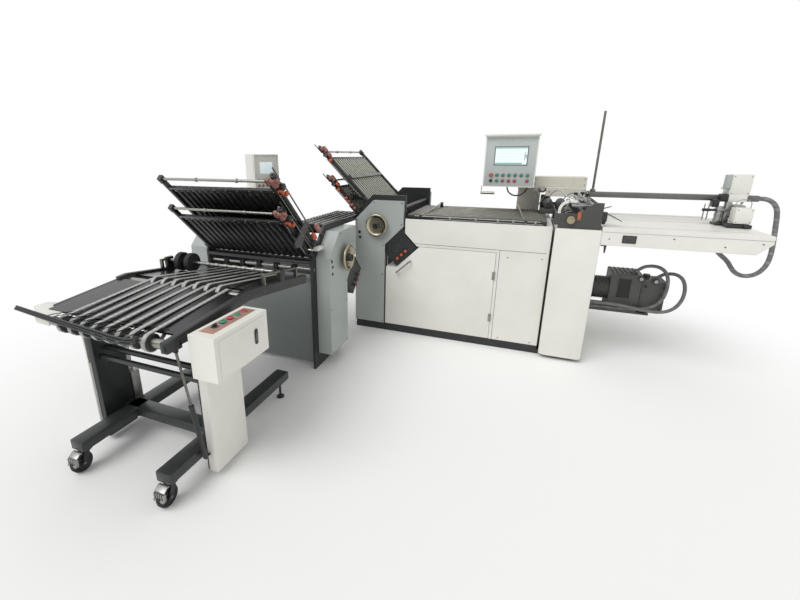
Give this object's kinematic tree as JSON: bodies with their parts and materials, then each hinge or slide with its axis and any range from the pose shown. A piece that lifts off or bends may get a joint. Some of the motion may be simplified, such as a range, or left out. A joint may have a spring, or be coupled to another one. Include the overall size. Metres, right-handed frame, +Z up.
{
  "type": "paper folding machine",
  "caption": "Floor-standing buckle folding line: sheet feeder, register table, two fold units at a right angle, crossing table and a mobile belt delivery, for folding flat sheets.",
  "frame": {"origin": "on the floor under the middle of the main cabinet", "axes": "+X along the feeder and first fold unit, away from the folding end; +Z up; the operator stands on the -Y side, and the second unit and delivery lead towards -Y"},
  "size_m": [3.7569, 3.0296, 1.678],
  "materials": {
    "white_coat": "satin powder coat",
    "cream_coat": "satin powder coat",
    "grey_coat": "satin powder coat",
    "charcoal_coat": "satin powder coat",
    "black_coat": "satin powder coat",
    "grille_coat": "worn satin coat over steel",
    "bright_steel": "bright ground steel",
    "wheel_metal": "polished, slightly brassy",
    "black_rubber": "matt",
    "hose_grey": "matt",
    "orange_plastic": "gloss",
    "green_plastic": "gloss",
    "red_plastic": "gloss"
  },
  "bodies": {
    "machine": {"main_base": "black_coat", "cabinet_shell": "white_coat", "end_housing": "white_coat", "feed_table": "white_coat", "feeder_frame": "charcoal_coat", "register_table": "bright_steel", "feeder_housing": "cream_coat", "feed_beam": "charcoal_coat", "head_conduit": "hose_grey", "vacuum_pump": "charcoal_coat", "pump_hose_pressure": "hose_grey", "pump_hose_suction": "hose_grey", "frame_1_operator_side": "black_coat", "frame_1_drive_side": "black_coat", "casing_1_operator_side": "grey_coat", "gear_casing_1": "charcoal_coat", "fold_plate_1a": "grille_coat", "fold_plate_1b": "grille_coat", "lower_plate_1": "black_coat", "frame_2_operator_side": "black_coat", "frame_2_drive_side": "black_coat", "casing_2_operator_side": "grey_coat", "gear_casing_2": "grey_coat", "fold_plate_2a": "grille_coat", "fold_plate_2b": "grille_coat", "lower_plate_2": "black_coat", "front_panel": "grey_coat", "crossing_table": "bright_steel", "delivery_deck": "charcoal_coat", "delivery_stand": "black_coat", "gas_strut": "bright_steel", "control_box": "white_coat"},
    "door": {"cabinet_door": "white_coat"},
    "fold_drive_1": {"hand_wheel_1": "wheel_metal", "fold_roller_1a": "bright_steel"},
    "lower_roller_1": {"fold_roller_1b": "bright_steel"},
    "stop_1a": {"stop_bar_1a": "bright_steel"},
    "stop_1b": {"stop_bar_1b": "bright_steel"},
    "fold_drive_2": {"hand_wheel_2": "wheel_metal", "fold_roller_2a": "bright_steel"},
    "lower_roller_2": {"fold_roller_2b": "bright_steel"},
    "stop_2a": {"stop_bar_2a": "bright_steel"},
    "stop_2b": {"stop_bar_2b": "bright_steel"},
    "outlet_shaft": {"exit_shaft": "bright_steel"},
    "feed_drum": {"suction_drum": "bright_steel"},
    "feed_lever": {"feeder_lever": "orange_plastic"},
    "guide_head": {"feed_head": "white_coat"},
    "panel": {"control_panel": "white_coat"},
    "panel_stop": {"panel_stop_button": "orange_plastic"},
    "panel_start": {"panel_start_button": "green_plastic"},
    "second_panel": {"second_control_panel": "white_coat"},
    "delivery_near": {"near_roller": "bright_steel"},
    "delivery_middle": {"middle_roller": "bright_steel"},
    "press_shaft": {"press_wheels": "black_rubber"},
    "box_start": {"box_start_button": "green_plastic"},
    "box_stop": {"box_stop_button": "red_plastic"},
    "swivel_left": {"castor_fork_left": "bright_steel"},
    "swivel_right": {"castor_fork_right": "bright_steel"},
    "wheel_left": {"castor_wheel_left": "black_rubber"},
    "wheel_right": {"castor_wheel_right": "black_rubber"}
  },
  "joints": [
    {"name": "door_hinge", "type": "hinge", "parent": "machine", "child": "door", "pos_m": [0.2415, -0.4563, 0.395], "axis": [0, 0, 1], "range_deg": [0, 110]},
    {"name": "wheel_1_spin", "type": "hinge", "parent": "machine", "child": "fold_drive_1", "pos_m": [-0.6525, 0, 0.873], "axis": [0, 1, 0], "continuous": true},
    {"name": "roller_1b_spin", "type": "hinge", "parent": "machine", "child": "lower_roller_1", "pos_m": [-0.68998, 0, 0.83552], "axis": [0, 1, 0], "continuous": true},
    {"name": "stop_1a_slide", "type": "slide", "parent": "machine", "child": "stop_1a", "axis": [-0.7071, 0, 0.7071], "range_m": [-0.12, 0.12]},
    {"name": "stop_1b_slide", "type": "slide", "parent": "machine", "child": "stop_1b", "axis": [-0.7071, 0, 0.7071], "range_m": [-0.08, 0.08]},
    {"name": "wheel_2_spin", "type": "hinge", "parent": "machine", "child": "fold_drive_2", "pos_m": [-1.2, -0.969, 0.73], "axis": [1, 0, 0], "continuous": true},
    {"name": "roller_2b_spin", "type": "hinge", "parent": "machine", "child": "lower_roller_2", "pos_m": [-1.2, -1.00648, 0.69252], "axis": [1, 0, 0], "continuous": true},
    {"name": "exit_shaft_spin", "type": "hinge", "parent": "machine", "child": "outlet_shaft", "pos_m": [-1.2, -1.218, 0.694], "axis": [1, 0, 0], "continuous": true},
    {"name": "stop_2a_slide", "type": "slide", "parent": "machine", "child": "stop_2a", "axis": [0, -0.7071, 0.7071], "range_m": [-0.12, 0.12]},
    {"name": "stop_2b_slide", "type": "slide", "parent": "machine", "child": "stop_2b", "axis": [0, -0.7071, 0.7071], "range_m": [-0.08, 0.08]},
    {"name": "feed_drum_spin", "type": "hinge", "parent": "machine", "child": "feed_drum", "pos_m": [0.6745, 0, 0.99], "axis": [0, 1, 0], "continuous": true},
    {"name": "feed_lever_turn", "type": "hinge", "parent": "machine", "child": "feed_lever", "pos_m": [0.7205, -0.48, 1], "axis": [0, 1, 0], "range_deg": [-30, 40]},
    {"name": "guide_head_slide", "type": "slide", "parent": "machine", "child": "guide_head", "axis": [1, 0, 0], "range_m": [-0.4, 0.08]},
    {"name": "panel_swivel", "type": "hinge", "parent": "machine", "child": "panel", "pos_m": [0.402, 0.105, 1.2], "axis": [0, 0, 1], "range_deg": [-30, 30]},
    {"name": "panel_stop_press", "type": "slide", "parent": "panel", "child": "panel_stop", "axis": [0, 1, 0], "range_m": [0, 0.005], "stiffness_N_per_m": 400, "springref_m": -0.002},
    {"name": "panel_start_press", "type": "slide", "parent": "panel", "child": "panel_start", "axis": [0, 1, 0], "range_m": [0, 0.005], "stiffness_N_per_m": 400, "springref_m": -0.002},
    {"name": "second_panel_swivel", "type": "hinge", "parent": "machine", "child": "second_panel", "pos_m": [-1.7296, -0.83, 1.1], "axis": [0, 0, 1], "range_deg": [-30, 30]},
    {"name": "near_roller_spin", "type": "hinge", "parent": "machine", "child": "delivery_near", "pos_m": [-1.167, -2.404, 0.70073], "axis": [1, 0, 0], "continuous": true},
    {"name": "middle_roller_spin", "type": "hinge", "parent": "machine", "child": "delivery_middle", "pos_m": [-1.167, -1.945, 0.749], "axis": [1, 0, 0], "continuous": true},
    {"name": "press_wheels_spin", "type": "hinge", "parent": "machine", "child": "press_shaft", "pos_m": [-1.167, -1.65, 0.79265], "axis": [1, 0, 0], "continuous": true},
    {"name": "box_start_press", "type": "slide", "parent": "machine", "child": "box_start", "axis": [0, 0, -1], "range_m": [0, 0.004], "stiffness_N_per_m": 500, "springref_m": -0.002},
    {"name": "box_stop_press", "type": "slide", "parent": "machine", "child": "box_stop", "axis": [0, 0, -1], "range_m": [0, 0.004], "stiffness_N_per_m": 500, "springref_m": -0.002},
    {"name": "castor_left_swivel", "type": "hinge", "parent": "machine", "child": "swivel_left", "pos_m": [-1.366, -2.453, 0.1], "axis": [0, 0, 1], "continuous": true},
    {"name": "castor_right_swivel", "type": "hinge", "parent": "machine", "child": "swivel_right", "pos_m": [-0.847, -2.453, 0.1], "axis": [0, 0, 1], "continuous": true},
    {"name": "castor_left_spin", "type": "hinge", "parent": "swivel_left", "child": "wheel_left", "pos_m": [-1.366, -2.481, 0.048], "axis": [1, 0, 0], "continuous": true},
    {"name": "castor_right_spin", "type": "hinge", "parent": "swivel_right", "child": "wheel_right", "pos_m": [-0.847, -2.481, 0.048], "axis": [1, 0, 0], "continuous": true}
  ],
  "couplings": [
    {"joint": "roller_1b_spin", "follows": "wheel_1_spin", "ratio": -1},
    {"joint": "roller_2b_spin", "follows": "wheel_2_spin", "ratio": -1},
    {"joint": "exit_shaft_spin", "follows": "wheel_2_spin", "ratio": -1.0833},
    {"joint": "middle_roller_spin", "follows": "near_roller_spin", "ratio": 1.125},
    {"joint": "press_wheels_spin", "follows": "near_roller_spin", "ratio": -0.5}
  ]
}
